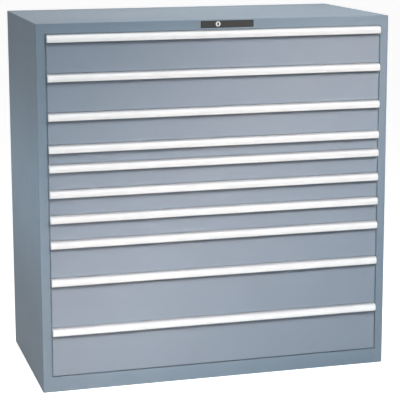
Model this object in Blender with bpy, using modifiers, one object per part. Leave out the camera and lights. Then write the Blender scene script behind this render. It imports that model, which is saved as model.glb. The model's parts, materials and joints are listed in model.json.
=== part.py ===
# Industrial drawer cabinet: ten full-extension drawers in a folded sheet-steel housing.
# Metres, +Z up. The front faces -Y, and the origin lies on the floor under the middle.

import math

import bmesh
import bpy
from mathutils import Matrix, Vector

# Housing
CASE_WIDTH = 1.431
CASE_DEPTH = 0.725
CASE_HEIGHT = 1.450
CASE_SHEET = 0.002
POST_WIDTH = 0.035
POST_RETURN = 0.025
REAR_FLANGE = 0.025
FOOT_FLANGE = 0.025
TOP_FASCIA = 0.040
BOTTOM_RAIL = 0.060
LID_EDGE = 0.0035
BASE_FLANGE = 0.020
FOLD_RADIUS = 0.003

# Shares of the height between fascia and bottom rail, from the top drawer down;
# one share is a 25 mm step
FRONT_STEP_SHARES = (6, 6, 5, 3, 4, 4, 4, 6, 8, 8)

# Drawer front
FRONT_SIDE_GAP = 0.0045
FRONT_GAP_BELOW = 0.0020
FRONT_GAP_ABOVE = 0.0010
FRONT_SHEET = 0.0015
FRONT_RETURN = 0.018

# Drawer tray
TRAY_SHEET = 0.0012
TRAY_LIFT = 0.008
TRAY_TOP_DROP = 0.022
TRAY_REAR_SPACE = 0.0896

# Grip rail along the top of each front
GRIP_HEIGHT = 0.030
GRIP_PROUD = 0.020
GRIP_WALL = 0.0020
GRIP_TOP_REACH = 0.010
GRIP_BACK_WALL = 0.0015
GRIP_LIP_ANGLE = 60

# Runners
ROLLER_DIAMETER = 0.018
ROLLER_WIDTH = 0.004
RAIL_SHEET = 0.0015
RAIL_LIFT = 0.004
UPRIGHT_WIDTH = 0.036
UPRIGHT_SETBACK = 0.0006
CARRIAGE_SHEET = 0.002
ROLLER_END_INSET = 0.020
POST_CLEARANCE = 0.0006

# Lock
LOCK_DROP = 0.017
LOCK_FACE_DIAMETER = 0.021
LOCK_FACE_THICKNESS = 0.003
LOCK_BARREL_DIAMETER = 0.016
LOCK_TRAVEL = 0.010
CAM_SHEET = 0.003
CAM_PIN_DIAMETER = 0.004
CAM_PIN_PLAY = 0.0006
KEYWAY_WIDTH = 0.0018
KEYWAY_HEIGHT = 0.010
KEYWAY_DEPTH = 0.002
PLATE_LEFT_REACH = 0.069
PLATE_RIGHT_REACH = 0.146
PLATE_HEIGHT = 0.027
PLATE_TOP_DROP = 0.0045
PLATE_THICKNESS = 0.0018
PLATE_CORNER = 0.0015
SLIDER_HEIGHT = 0.024
SLIDER_SHEET = 0.0022
SLIDER_END = 0.014
BAR_WIDTH = 0.016
BAR_SHEET = 0.003
BAR_SIDE_GAP = 0.0035
BAR_FLOOR_CLEARANCE = 0.017
TAB_HEIGHT = 0.006
TAB_LEAD = 0.0015
LUG_HEIGHT = 0.008
LUG_SHEET = 0.003
LUG_RISE = 0.004
LUG_PLAY = 0.002

# Clearances shared by all pieces
TOUCH = 0.0003
RUN_CLEARANCE = 0.0003
MOVE_CLEARANCE = 0.0004
WELD = 0.0003
OVERRUN = 0.002

# Faces around round shapes
FOLD_SEGMENTS = 2
ROLLER_SIDES = 12
LOCK_SIDES = 24
GRIP_ARC_STEPS = 6

# Shares of the grip rail's own height and depth
GRIP_CREST_SHARE = 0.20
GRIP_NOSE_SHARE = 0.55
GRIP_LIP_SHARE = 0.55

# Shares of a carriage's length
OUTER_ROLLER_SHARE = 0.62
INNER_ROLLER_SHARE = 0.38

# Shares of the runner wall's length, from its front edge to the middle of each upright
UPRIGHT_SHARES = (0.10, 0.50, 0.90)

# Places that follow from the sizes above
HEIGHT_STEP = (CASE_HEIGHT - TOP_FASCIA - BOTTOM_RAIL) / sum(FRONT_STEP_SHARES)
HALF_WIDTH = CASE_WIDTH / 2
FRONT_Y = (GRIP_PROUD - CASE_DEPTH) / 2
BACK_Y = FRONT_Y + CASE_DEPTH
POST_EDGE = HALF_WIDTH - POST_WIDTH
LID_BOTTOM = CASE_HEIGHT - LID_EDGE
LID_RADIUS = min(FOLD_RADIUS, LID_EDGE - TOUCH)
FRAME_TOP = LID_BOTTOM - TOUCH
FASCIA_BOTTOM = CASE_HEIGHT - TOP_FASCIA
BASE_TOP = BOTTOM_RAIL
RETURN_END = FRONT_Y + POST_RETURN

# Layers behind the front posts, from front to back
SLIDER_FRONT = RETURN_END + MOVE_CLEARANCE
SLIDER_BACK = SLIDER_FRONT + SLIDER_SHEET
BAR_FRONT = SLIDER_BACK + MOVE_CLEARANCE
BAR_BACK = BAR_FRONT + BAR_SHEET
RUNNER_FRONT = BAR_BACK + TOUCH

# Layers beside a tray, counted outwards from its side wall
DRAWER_RAIL_REACH = RAIL_SHEET + ROLLER_WIDTH + 2 * RUN_CLEARANCE
PLATE_IN = DRAWER_RAIL_REACH + RUN_CLEARANCE
PLATE_OUT = PLATE_IN + CARRIAGE_SHEET
OUTER_ROLLER_END = PLATE_OUT + RUN_CLEARANCE + ROLLER_WIDTH
CASE_RAIL_IN = PLATE_OUT + RUN_CLEARANCE
CASE_RAIL_OUT = OUTER_ROLLER_END + RUN_CLEARANCE + RAIL_SHEET
RUNNER_WALL_IN = CASE_RAIL_OUT - WELD
RUNNER_WALL_OUT = RUNNER_WALL_IN + RAIL_SHEET

TRAY_SIDE = POST_EDGE - POST_CLEARANCE - RUNNER_WALL_OUT
TRAY_BACK_Y = BACK_Y - TRAY_REAR_SPACE
TRAY_WALL_Y = FRONT_Y + FRONT_RETURN
RAIL_HEIGHT = ROLLER_DIAMETER + 2 * RUN_CLEARANCE + 2 * RAIL_SHEET
CARRIAGE_LENGTH = TRAY_BACK_Y - RUNNER_FRONT

LOCK_Z = CASE_HEIGHT - LOCK_DROP
CAM_RADIUS = LOCK_TRAVEL / (2 * math.sin(math.radians(45)))
SLIDER_MIDDLE = LOCK_Z - CAM_RADIUS * math.cos(math.radians(45))
BAR_INNER = POST_EDGE + BAR_SIDE_GAP
BAR_MIDDLE = BAR_INNER + BAR_WIDTH / 2

# Finishes: colour, roughness, metallic
FINISHES = {
    "housing_paint": ((0.235, 0.300, 0.350), 0.42, 0.0),
    "front_paint": ((0.330, 0.385, 0.450), 0.38, 0.0),
    "grip_aluminium": ((0.860, 0.870, 0.880), 0.34, 0.6),
    "zinc_steel": ((0.560, 0.570, 0.580), 0.38, 0.9),
    "carriage_steel": ((0.480, 0.490, 0.500), 0.34, 0.9),
    "dark_plastic": ((0.055, 0.060, 0.062), 0.45, 0.0),
    "lock_chrome": ((0.780, 0.780, 0.780), 0.22, 1.0),
}


def clear_scene():
    for item in list(bpy.data.objects):
        bpy.data.objects.remove(item, do_unlink=True)


def make_collection(name):
    group = bpy.data.collections.new(name)
    bpy.context.scene.collection.children.link(group)
    return group


def make_finishes():
    made = {}
    for name, (colour, roughness, metallic) in FINISHES.items():
        finish = bpy.data.materials.new(name)
        finish.use_nodes = True
        shader = finish.node_tree.nodes["Principled BSDF"]
        shader.inputs["Base Color"].default_value = (*colour, 1.0)
        shader.inputs["Roughness"].default_value = roughness
        shader.inputs["Metallic"].default_value = metallic
        finish.diffuse_color = (*colour, 1.0)
        made[name] = finish
    return made


clear_scene()
CABINET = make_collection("industrial_drawer_cabinet")
PAINTS = make_finishes()


# Building blocks

def new_object(name, shape):
    mesh = bpy.data.meshes.new(name)
    bmesh.ops.recalc_face_normals(shape, faces=shape.faces)
    shape.to_mesh(mesh)
    shape.free()
    piece = bpy.data.objects.new(name, mesh)
    CABINET.objects.link(piece)
    return piece


def settle(piece):
    """Turn a piece's modifiers into its mesh."""
    graph = bpy.context.evaluated_depsgraph_get()
    mesh = bpy.data.meshes.new_from_object(piece.evaluated_get(graph))
    old = piece.data
    piece.modifiers.clear()
    piece.data = mesh
    bpy.data.meshes.remove(old)
    shape = bmesh.new()
    shape.from_mesh(mesh)
    bmesh.ops.recalc_face_normals(shape, faces=shape.faces)
    shape.to_mesh(mesh)
    shape.free()
    return piece


def combine(piece, others, operation):
    for other in others:
        step = piece.modifiers.new(operation.lower(), "BOOLEAN")
        step.operation = operation
        step.solver = "EXACT"
        step.object = other
    settle(piece)
    for other in others:
        bpy.data.objects.remove(other, do_unlink=True)
    return piece


def unite(piece, others):
    return combine(piece, others, "UNION")


def cut(piece, others):
    return combine(piece, others, "DIFFERENCE")


def thicken(piece, thickness):
    """Give an open surface its sheet thickness on the side away from its normals."""
    wall = piece.modifiers.new("sheet", "SOLIDIFY")
    wall.thickness = thickness
    wall.offset = -1
    wall.use_even_offset = True
    return settle(piece)


def cube_between(low, high):
    shape = bmesh.new()
    bmesh.ops.create_cube(shape, size=1)
    size = Vector(high) - Vector(low)
    middle = (Vector(high) + Vector(low)) / 2
    bmesh.ops.transform(
        shape, matrix=Matrix.Translation(middle) @ Matrix.Diagonal((*size, 1)), verts=shape.verts)
    return shape


def block(name, low, high):
    return new_object(name, cube_between(low, high))


def round_bar(name, start, axis, length, diameter, sides):
    """A cylinder from a point along X or Y; a negative length runs the other way."""
    shape = bmesh.new()
    bmesh.ops.create_cone(
        shape, cap_ends=True, segments=sides, radius1=diameter / 2, radius2=diameter / 2, depth=abs(length))
    turn = Matrix.Rotation(math.radians(90), 4, "Y" if axis == "X" else "X")
    along = Vector((1, 0, 0)) if axis == "X" else Vector((0, 1, 0))
    place = Matrix.Translation(Vector(start) + along * (length / 2))
    bmesh.ops.transform(shape, matrix=place @ turn, verts=shape.verts)
    return new_object(name, shape)


def pan(name, low, high, opening, thickness, radius):
    """A folded box that is open on one side; the opening is a direction such as (0, 1, 0)."""
    shape = cube_between(low, high)
    way = Vector(opening)
    open_faces = [face for face in shape.faces if face.normal.dot(way) > 0.5]
    bmesh.ops.delete(shape, geom=open_faces, context="FACES_ONLY")
    if radius:
        folds = [edge for edge in shape.edges if len(edge.link_faces) == 2]
        bmesh.ops.bevel(
            shape, geom=folds, offset=radius, segments=FOLD_SEGMENTS, profile=0.5,
            affect="EDGES", clamp_overlap=True)
    piece = bpy.data.objects.new(name, bpy.data.meshes.new(name))
    shape.to_mesh(piece.data)
    shape.free()
    CABINET.objects.link(piece)
    return thicken(piece, thickness)


def folded_sheet(name, outline, axis, start, end, thickness, radius):
    """A sheet folded along an outline and run along an axis, its thickness inside the folds.

    The outline's points are (x, y) along Z, (y, z) along X and (x, z) along Y.
    """
    following = outline[1:] + outline[:1]
    turning = sum(a[0] * b[1] - b[0] * a[1] for a, b in zip(outline, following))
    if (turning > 0) == (axis == "Y"):
        outline = outline[::-1]
    if axis == "X":
        near = [(start, a, b) for a, b in outline]
        far = [(end, a, b) for a, b in outline]
    elif axis == "Y":
        near = [(a, start, b) for a, b in outline]
        far = [(a, end, b) for a, b in outline]
    else:
        near = [(a, b, start) for a, b in outline]
        far = [(a, b, end) for a, b in outline]
    shape = bmesh.new()
    near = [shape.verts.new(point) for point in near]
    far = [shape.verts.new(point) for point in far]
    for index in range(len(outline) - 1):
        shape.faces.new((near[index], near[index + 1], far[index + 1], far[index]))
    folds = [edge for edge in shape.edges if len(edge.link_faces) == 2]
    if radius:
        bmesh.ops.bevel(
            shape, geom=folds, offset=radius, segments=FOLD_SEGMENTS, profile=0.5,
            affect="EDGES", clamp_overlap=True)
    piece = bpy.data.objects.new(name, bpy.data.meshes.new(name))
    shape.to_mesh(piece.data)
    shape.free()
    CABINET.objects.link(piece)
    return thicken(piece, thickness)


def extruded(name, outline, axis, start, end):
    """A closed outline run along X, with (y, z) points, or along Y, with (x, z) points."""
    curve = bpy.data.curves.new(name, "CURVE")
    curve.dimensions = "2D"
    curve.fill_mode = "BOTH"
    curve.extrude = (end - start) / 2
    spline = curve.splines.new("POLY")
    spline.points.add(len(outline) - 1)
    for point, (a, b) in zip(spline.points, outline):
        point.co = (a, b, 0, 1)
    spline.use_cyclic_u = True
    guide = bpy.data.objects.new(name + "_outline", curve)
    CABINET.objects.link(guide)
    graph = bpy.context.evaluated_depsgraph_get()
    mesh = bpy.data.meshes.new_from_object(guide.evaluated_get(graph))
    shape = bmesh.new()
    shape.from_mesh(mesh)
    bmesh.ops.remove_doubles(shape, verts=shape.verts, dist=TOUCH / 10)
    if axis == "X":
        turn = Matrix(((0, 0, 1, (start + end) / 2), (1, 0, 0, 0), (0, 1, 0, 0), (0, 0, 0, 1)))
    else:
        turn = Matrix(((1, 0, 0, 0), (0, 0, -1, (start + end) / 2), (0, 1, 0, 0), (0, 0, 0, 1)))
    bmesh.ops.transform(shape, matrix=turn, verts=shape.verts)
    bpy.data.objects.remove(guide, do_unlink=True)
    bpy.data.meshes.remove(mesh)
    return new_object(name, shape)


def finish(piece, name, paint, origin=(0, 0, 0)):
    """Name a piece, paint it and put its origin at a point."""
    piece.name = name
    piece.data.name = name
    piece.data.transform(Matrix.Translation(-Vector(origin)))
    piece.location = origin
    piece.data.materials.clear()
    piece.data.materials.append(PAINTS[paint])
    piece.data.shade_smooth()
    piece.data.set_sharp_from_angle(angle=math.radians(35))
    return piece


# Housing

def make_side(name, side):
    """Side wall with its front post, rear flange and the flange that it stands on."""
    outer = side * HALF_WIDTH
    outline = [
        (side * POST_EDGE, RETURN_END),
        (side * POST_EDGE, FRONT_Y),
        (outer, FRONT_Y),
        (outer, BACK_Y),
        (outer - side * REAR_FLANGE, BACK_Y),
    ]
    wall = folded_sheet(name, outline, "Z", 0, FRAME_TOP, CASE_SHEET, FOLD_RADIUS)
    reach = sorted((outer - side * CASE_SHEET / 2, outer - side * (FOOT_FLANGE + CASE_SHEET)))
    foot = block(
        "foot",
        (reach[0], FRONT_Y + CASE_SHEET / 2, 0),
        (reach[1], BACK_Y - CASE_SHEET / 2, CASE_SHEET))
    return finish(unite(wall, [foot]), name, "housing_paint")


def make_lid():
    lid = pan(
        "lid", (-HALF_WIDTH, FRONT_Y, LID_BOTTOM), (HALF_WIDTH, BACK_Y, CASE_HEIGHT),
        (0, 0, -1), CASE_SHEET, LID_RADIUS)
    return finish(lid, "top_panel", "housing_paint")


def make_fascia():
    """Channel over the first drawer, with the hole for the lock's barrel."""
    reach = POST_EDGE - TOUCH
    outline = [
        (RETURN_END, FRAME_TOP),
        (FRONT_Y, FRAME_TOP),
        (FRONT_Y, FASCIA_BOTTOM),
        (RETURN_END, FASCIA_BOTTOM),
    ]
    fascia = folded_sheet("fascia", outline, "X", -reach, reach, CASE_SHEET, FOLD_RADIUS)
    hole = round_bar(
        "lock_hole", (0, FRONT_Y - OVERRUN, LOCK_Z), "Y", CASE_SHEET + 2 * OVERRUN,
        LOCK_BARREL_DIAMETER + 2 * RUN_CLEARANCE, LOCK_SIDES)
    return finish(cut(fascia, [hole]), "top_fascia", "housing_paint")


def make_bottom_rail():
    reach = POST_EDGE - TOUCH
    outline = [
        (RETURN_END, BOTTOM_RAIL),
        (FRONT_Y, BOTTOM_RAIL),
        (FRONT_Y, 0),
        (RETURN_END, 0),
    ]
    rail = folded_sheet("rail", outline, "X", -reach, reach, CASE_SHEET, FOLD_RADIUS)
    return finish(rail, "bottom_rail", "housing_paint")


def make_back():
    """Flat panel in front of the side walls' rear flanges, clear of their rounded folds."""
    reach = HALF_WIDTH - CASE_SHEET - FOLD_RADIUS
    rear = BACK_Y - CASE_SHEET - TOUCH
    panel = block(
        "panel", (-reach, rear - CASE_SHEET, CASE_SHEET + TOUCH), (reach, rear, FRAME_TOP))
    return finish(panel, "back_panel", "housing_paint")


def make_base():
    reach = HALF_WIDTH - CASE_SHEET - TOUCH
    rear = BACK_Y - 2 * (CASE_SHEET + TOUCH)
    base = pan(
        "base", (-reach, RETURN_END + TOUCH, BASE_TOP - BASE_FLANGE), (reach, rear, BASE_TOP),
        (0, 0, -1), CASE_SHEET, 0)
    return finish(base, "base_panel", "housing_paint")


# Drawers

def drawer_levels():
    """Lowest and highest level of each drawer's space, from the top drawer down."""
    levels = []
    top = FASCIA_BOTTOM
    for share in FRONT_STEP_SHARES:
        bottom = top - share * HEIGHT_STEP
        levels.append((bottom, top))
        top = bottom
    return levels


def rail_middle(bottom):
    return bottom + FRONT_GAP_BELOW + TRAY_LIFT + RAIL_LIFT + RAIL_HEIGHT / 2


def lug_bottom(bottom):
    return rail_middle(bottom) + RAIL_HEIGHT / 2 + LUG_RISE


def channel(name, side, inner, outer, middle, opens_out):
    """A C-shaped rail along Y, between two distances from the tray's side wall."""
    inner_x = side * (TRAY_SIDE + inner)
    outer_x = side * (TRAY_SIDE + outer)
    web_x, tip_x = (inner_x, outer_x) if opens_out else (outer_x, inner_x)
    low = middle - RAIL_HEIGHT / 2
    high = middle + RAIL_HEIGHT / 2
    outline = [(tip_x, low), (web_x, low), (web_x, high), (tip_x, high)]
    return folded_sheet(name, outline, "Y", RUNNER_FRONT, TRAY_BACK_Y, RAIL_SHEET, 0)


def make_lug(bottom):
    """Bracket that stands on a drawer's right rail and reaches out over the carriage."""
    lug_low = lug_bottom(bottom)
    lug_front = BAR_BACK + LUG_PLAY
    rail_top = rail_middle(bottom) + RAIL_HEIGHT / 2
    arm = block(
        "lug_arm",
        (TRAY_SIDE - WELD, lug_front, lug_low),
        (TRAY_SIDE + OUTER_ROLLER_END, lug_front + LUG_SHEET, lug_low + LUG_HEIGHT))
    foot = block(
        "lug_foot",
        (TRAY_SIDE - WELD, lug_front, rail_top - RAIL_SHEET / 2),
        (TRAY_SIDE + DRAWER_RAIL_REACH - TOUCH, lug_front + LUG_SHEET, lug_low + LUG_HEIGHT / 2))
    return unite(arm, [foot])


def make_drawer(name, bottom, top):
    """Folded front, tray, its two rails and the lug that the lock bar's tab stops."""
    front_side = POST_EDGE - FRONT_SIDE_GAP
    front_low = bottom + FRONT_GAP_BELOW
    front_high = top - FRONT_GAP_ABOVE - GRIP_WALL - TOUCH
    front = pan(
        "front", (-front_side, FRONT_Y, front_low), (front_side, FRONT_Y + FRONT_RETURN, front_high),
        (0, 1, 0), FRONT_SHEET, FOLD_RADIUS)
    tray_low = front_low + TRAY_LIFT
    tray_high = top - TRAY_TOP_DROP
    tray = pan(
        "tray", (-TRAY_SIDE, FRONT_Y + FRONT_SHEET / 2, tray_low), (TRAY_SIDE, TRAY_BACK_Y, tray_high),
        (0, 0, 1), TRAY_SHEET, 0)
    inner_side = TRAY_SIDE - TRAY_SHEET / 2
    inner_front = block(
        "inner_front",
        (-inner_side, TRAY_WALL_Y, tray_low + TRAY_SHEET / 2),
        (inner_side, TRAY_WALL_Y + TRAY_SHEET, tray_high - WELD))
    middle = rail_middle(bottom)
    rails = [
        channel("drawer_rail", side, -WELD, DRAWER_RAIL_REACH, middle, True) for side in (-1, 1)]
    unite(front, [tray, inner_front, *rails, make_lug(bottom)])
    return finish(front, name, "front_paint", (0, FRONT_Y, front_low))


def arc(centre, reach, rise, start, end, steps):
    """Points of an elliptical arc, with its angles in degrees."""
    points = []
    for index in range(steps + 1):
        angle = math.radians(start + (end - start) * index / steps)
        points.append((centre[0] + reach * math.cos(angle), centre[1] + rise * math.sin(angle)))
    return points


def grip_outline(top):
    """The grip rail's section: top web, bull nose open underneath, and the wall on the front.

    The upper arc runs from the crest to the nose, and the lower one from the nose to the lip.
    """
    face = FRONT_Y - TOUCH
    nose = FRONT_Y - GRIP_PROUD
    crest = FRONT_Y - GRIP_PROUD * GRIP_CREST_SHARE
    lip = FRONT_Y - GRIP_PROUD * GRIP_LIP_SHARE
    nose_z = top - GRIP_HEIGHT * GRIP_NOSE_SHARE
    low_z = top - GRIP_HEIGHT
    lip_end = 180 + GRIP_LIP_ANGLE
    lip_drop = (nose_z - low_z) / math.sin(math.radians(GRIP_LIP_ANGLE))
    upper = arc((crest, nose_z), crest - nose, top - nose_z, 90, 180, GRIP_ARC_STEPS)
    lower = arc((lip, nose_z), lip - nose, lip_drop, 180, lip_end, GRIP_ARC_STEPS)
    inner_lower = arc(
        (lip, nose_z), lip - nose - GRIP_WALL, lip_drop - GRIP_WALL, lip_end, 180, GRIP_ARC_STEPS)
    inner_upper = arc(
        (crest, nose_z), crest - nose - GRIP_WALL, top - nose_z - GRIP_WALL, 180, 90, GRIP_ARC_STEPS)
    back = face - GRIP_BACK_WALL
    return [
        (FRONT_Y + GRIP_TOP_REACH, top),
        *upper,
        *lower[1:],
        *inner_lower,
        *inner_upper[1:],
        (back, top - GRIP_WALL),
        (back, low_z),
        (face, low_z),
        (face, top - GRIP_WALL),
        (FRONT_Y + GRIP_TOP_REACH, top - GRIP_WALL),
    ]


def make_grip(name, top):
    reach = POST_EDGE - FRONT_SIDE_GAP
    high = top - FRONT_GAP_ABOVE
    grip = extruded("grip", grip_outline(high), "X", -reach, reach)
    return finish(grip, name, "grip_aluminium", (0, FRONT_Y, high))


def make_carriage(name, side, bottom):
    """Roller plate between a drawer's rail and the cabinet's rail."""
    middle = rail_middle(bottom)
    plate_x = sorted((side * (TRAY_SIDE + PLATE_IN), side * (TRAY_SIDE + PLATE_OUT)))
    plate = block(
        "plate",
        (plate_x[0], RUNNER_FRONT, middle - RAIL_HEIGHT / 2),
        (plate_x[1], TRAY_BACK_Y, middle + RAIL_HEIGHT / 2))
    inner_start = side * (TRAY_SIDE + RAIL_SHEET + RUN_CLEARANCE)
    inner_length = side * (PLATE_IN + CARRIAGE_SHEET / 2 - RAIL_SHEET - RUN_CLEARANCE)
    outer_start = side * (TRAY_SIDE + OUTER_ROLLER_END)
    outer_length = side * (PLATE_OUT - CARRIAGE_SHEET / 2 - OUTER_ROLLER_END)
    inner_places = (RUNNER_FRONT + ROLLER_END_INSET, RUNNER_FRONT + CARRIAGE_LENGTH * INNER_ROLLER_SHARE)
    outer_places = (TRAY_BACK_Y - ROLLER_END_INSET, RUNNER_FRONT + CARRIAGE_LENGTH * OUTER_ROLLER_SHARE)
    rollers = []
    for place in inner_places:
        rollers.append(round_bar(
            "roller", (inner_start, place, middle), "X", inner_length, ROLLER_DIAMETER, ROLLER_SIDES))
    for place in outer_places:
        rollers.append(round_bar(
            "roller", (outer_start, place, middle), "X", outer_length, ROLLER_DIAMETER, ROLLER_SIDES))
    unite(plate, rollers)
    return finish(plate, name, "carriage_steel", (side * TRAY_SIDE, RUNNER_FRONT, middle))


def upright_pieces(side, low, high, levels):
    """Flat steel uprights that carry the cabinet's rails, in lengths from one rail to the next."""
    reach = sorted((
        side * (TRAY_SIDE + CASE_RAIL_IN + UPRIGHT_SETBACK),
        side * (TRAY_SIDE + RUNNER_WALL_IN + WELD)))
    half_rail = RAIL_HEIGHT / 2 - WELD
    middles = [rail_middle(bottom) for bottom, top in reversed(levels)]
    starts = [low] + [middle + half_rail for middle in middles]
    ends = [middle - half_rail for middle in middles] + [high]
    pieces = []
    for share in UPRIGHT_SHARES:
        place = RUNNER_FRONT + CARRIAGE_LENGTH * share
        for start, end in zip(starts, ends):
            pieces.append(block(
                "upright",
                (reach[0], place - UPRIGHT_WIDTH / 2, start),
                (reach[1], place + UPRIGHT_WIDTH / 2, end)))
    return pieces


def make_runner_wall(name, side, levels):
    """Inner wall folded out to the housing side, with its uprights and one rail for each drawer."""
    web = side * (TRAY_SIDE + RUNNER_WALL_IN)
    outer = side * (HALF_WIDTH - CASE_SHEET - TOUCH)
    outline = [
        (outer, RUNNER_FRONT),
        (web, RUNNER_FRONT),
        (web, TRAY_BACK_Y),
        (outer, TRAY_BACK_Y),
    ]
    low = BASE_TOP + TOUCH
    high = FRAME_TOP - CASE_SHEET
    wall = folded_sheet(name, outline, "Z", low, high, RAIL_SHEET, 0)
    rails = [
        channel("case_rail", side, CASE_RAIL_IN, CASE_RAIL_OUT, rail_middle(bottom), False)
        for bottom, top in levels]
    uprights = upright_pieces(side, low + TOUCH, high - TOUCH, levels)
    return finish(unite(wall, rails + uprights), name, "zinc_steel")


# Lock

def make_lock_plate():
    high = CASE_HEIGHT - PLATE_TOP_DROP
    shape = cube_between(
        (-PLATE_LEFT_REACH, FRONT_Y - TOUCH - PLATE_THICKNESS, high - PLATE_HEIGHT),
        (PLATE_RIGHT_REACH, FRONT_Y - TOUCH, high))
    corners = [
        edge for edge in shape.edges if abs(edge.verts[0].co.y - edge.verts[1].co.y) > PLATE_THICKNESS / 2]
    bmesh.ops.bevel(
        shape, geom=corners, offset=PLATE_CORNER, segments=FOLD_SEGMENTS, profile=0.5,
        affect="EDGES", clamp_overlap=True)
    plate = new_object("plate", shape)
    hole = round_bar(
        "plate_hole", (0, FRONT_Y - TOUCH - PLATE_THICKNESS - OVERRUN, LOCK_Z), "Y",
        PLATE_THICKNESS + 2 * OVERRUN, LOCK_BARREL_DIAMETER + 2 * RUN_CLEARANCE, LOCK_SIDES)
    return finish(cut(plate, [hole]), "lock_plate", "dark_plastic")


def make_lock_cylinder():
    """Face, barrel and the cam whose pin moves the slider; unlocked, the pin lies down to the right."""
    face_back = FRONT_Y - TOUCH - PLATE_THICKNESS - RUN_CLEARANCE
    cam_back = RETURN_END
    cam_front = cam_back - CAM_SHEET
    pin_offset = LOCK_TRAVEL / 2
    face = round_bar(
        "face", (0, face_back - LOCK_FACE_THICKNESS, LOCK_Z), "Y", LOCK_FACE_THICKNESS,
        LOCK_FACE_DIAMETER, LOCK_SIDES)
    barrel = round_bar(
        "barrel", (0, face_back - LOCK_FACE_THICKNESS / 2, LOCK_Z), "Y",
        cam_front + CAM_SHEET / 2 - face_back + LOCK_FACE_THICKNESS / 2, LOCK_BARREL_DIAMETER, LOCK_SIDES)
    cam = round_bar(
        "cam", (0, cam_front, LOCK_Z), "Y", CAM_SHEET, 2 * CAM_RADIUS + 2 * CAM_PIN_DIAMETER, LOCK_SIDES)
    pin = round_bar(
        "pin", (pin_offset, cam_front + CAM_SHEET / 2, LOCK_Z - pin_offset), "Y",
        SLIDER_BACK - cam_front - CAM_SHEET / 2, CAM_PIN_DIAMETER, ROLLER_SIDES)
    unite(face, [barrel, cam, pin])
    keyway = block(
        "keyway",
        (-KEYWAY_WIDTH / 2, face_back - LOCK_FACE_THICKNESS - OVERRUN, LOCK_Z - KEYWAY_HEIGHT / 2),
        (KEYWAY_WIDTH / 2, face_back - LOCK_FACE_THICKNESS + KEYWAY_DEPTH, LOCK_Z + KEYWAY_HEIGHT / 2))
    return finish(cut(face, [keyway]), "lock_cylinder", "lock_chrome", (0, FRONT_Y, LOCK_Z))


def make_lock_slider():
    """Strip behind the fascia: an upright slot for the cam pin and a slanted one for the bar's pin."""
    slot_width = CAM_PIN_DIAMETER + 2 * CAM_PIN_PLAY
    pin_offset = LOCK_TRAVEL / 2
    strip = block(
        "strip",
        (pin_offset - SLIDER_END, SLIDER_FRONT, SLIDER_MIDDLE - SLIDER_HEIGHT / 2),
        (BAR_MIDDLE + LOCK_TRAVEL + SLIDER_END - BAR_WIDTH / 2, SLIDER_BACK,
         SLIDER_MIDDLE + SLIDER_HEIGHT / 2))
    pin_swing = CAM_RADIUS - pin_offset
    upright = block(
        "upright_slot",
        (pin_offset - slot_width / 2, SLIDER_FRONT - OVERRUN,
         LOCK_Z - CAM_RADIUS - slot_width / 2),
        (pin_offset + slot_width / 2, SLIDER_BACK + OVERRUN,
         LOCK_Z - CAM_RADIUS + pin_swing + slot_width / 2))
    slot_length = LOCK_TRAVEL * math.sqrt(2) + slot_width
    slanted_shape = cube_between(
        (-slot_length / 2, SLIDER_FRONT - OVERRUN, -slot_width / 2),
        (slot_length / 2, SLIDER_BACK + OVERRUN, slot_width / 2))
    slant = Matrix.Translation((BAR_MIDDLE + pin_offset, 0, SLIDER_MIDDLE))
    slant = slant @ Matrix.Rotation(math.radians(45), 4, "Y")
    bmesh.ops.transform(slanted_shape, matrix=slant, verts=slanted_shape.verts)
    slanted = new_object("slanted_slot", slanted_shape)
    return finish(cut(strip, [upright, slanted]), "lock_slider", "zinc_steel", (0, SLIDER_FRONT, LOCK_Z))


def make_lock_bar(levels):
    """Upright bar behind the right post; each tab drops in front of its drawer's lug."""
    pin_offset = LOCK_TRAVEL / 2
    bar_top = SLIDER_MIDDLE + SLIDER_HEIGHT / 2
    bar = block(
        "bar",
        (BAR_INNER, BAR_FRONT, BASE_TOP + BAR_FLOOR_CLEARANCE),
        (BAR_INNER + BAR_WIDTH, BAR_BACK, bar_top))
    parts = []
    for bottom, top in levels:
        tab_low = lug_bottom(bottom) + LUG_HEIGHT + TAB_LEAD
        parts.append(block(
            "tab",
            (TRAY_SIDE + DRAWER_RAIL_REACH, BAR_FRONT, tab_low),
            (BAR_INNER + BAR_WIDTH / 4, BAR_BACK, tab_low + TAB_HEIGHT)))
    parts.append(round_bar(
        "bar_pin", (BAR_MIDDLE, SLIDER_FRONT, SLIDER_MIDDLE + pin_offset), "Y",
        BAR_FRONT + BAR_SHEET / 2 - SLIDER_FRONT, CAM_PIN_DIAMETER, ROLLER_SIDES))
    return finish(unite(bar, parts), "lock_bar", "zinc_steel", (BAR_MIDDLE, BAR_FRONT, LOCK_Z))


def build():
    levels = drawer_levels()
    make_side("housing_side_left", -1)
    make_side("housing_side_right", 1)
    make_lid()
    make_fascia()
    make_bottom_rail()
    make_back()
    make_base()
    make_runner_wall("runner_wall_left", -1, levels)
    make_runner_wall("runner_wall_right", 1, levels)
    for number, (bottom, top) in enumerate(levels, 1):
        make_drawer(f"drawer_{number:02d}", bottom, top)
        make_grip(f"handle_{number:02d}", top)
        make_carriage(f"carriage_left_{number:02d}", -1, bottom)
        make_carriage(f"carriage_right_{number:02d}", 1, bottom)
    make_lock_plate()
    make_lock_cylinder()
    make_lock_slider()
    make_lock_bar(levels)


build()
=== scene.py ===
# Industrial drawer cabinet: painted sheet-steel housing, ten drawers with label grips and slotted
# trays, roller runners and a central lock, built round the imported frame.

import json
import math

import bmesh
import bpy
from mathutils import Matrix, Vector

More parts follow.
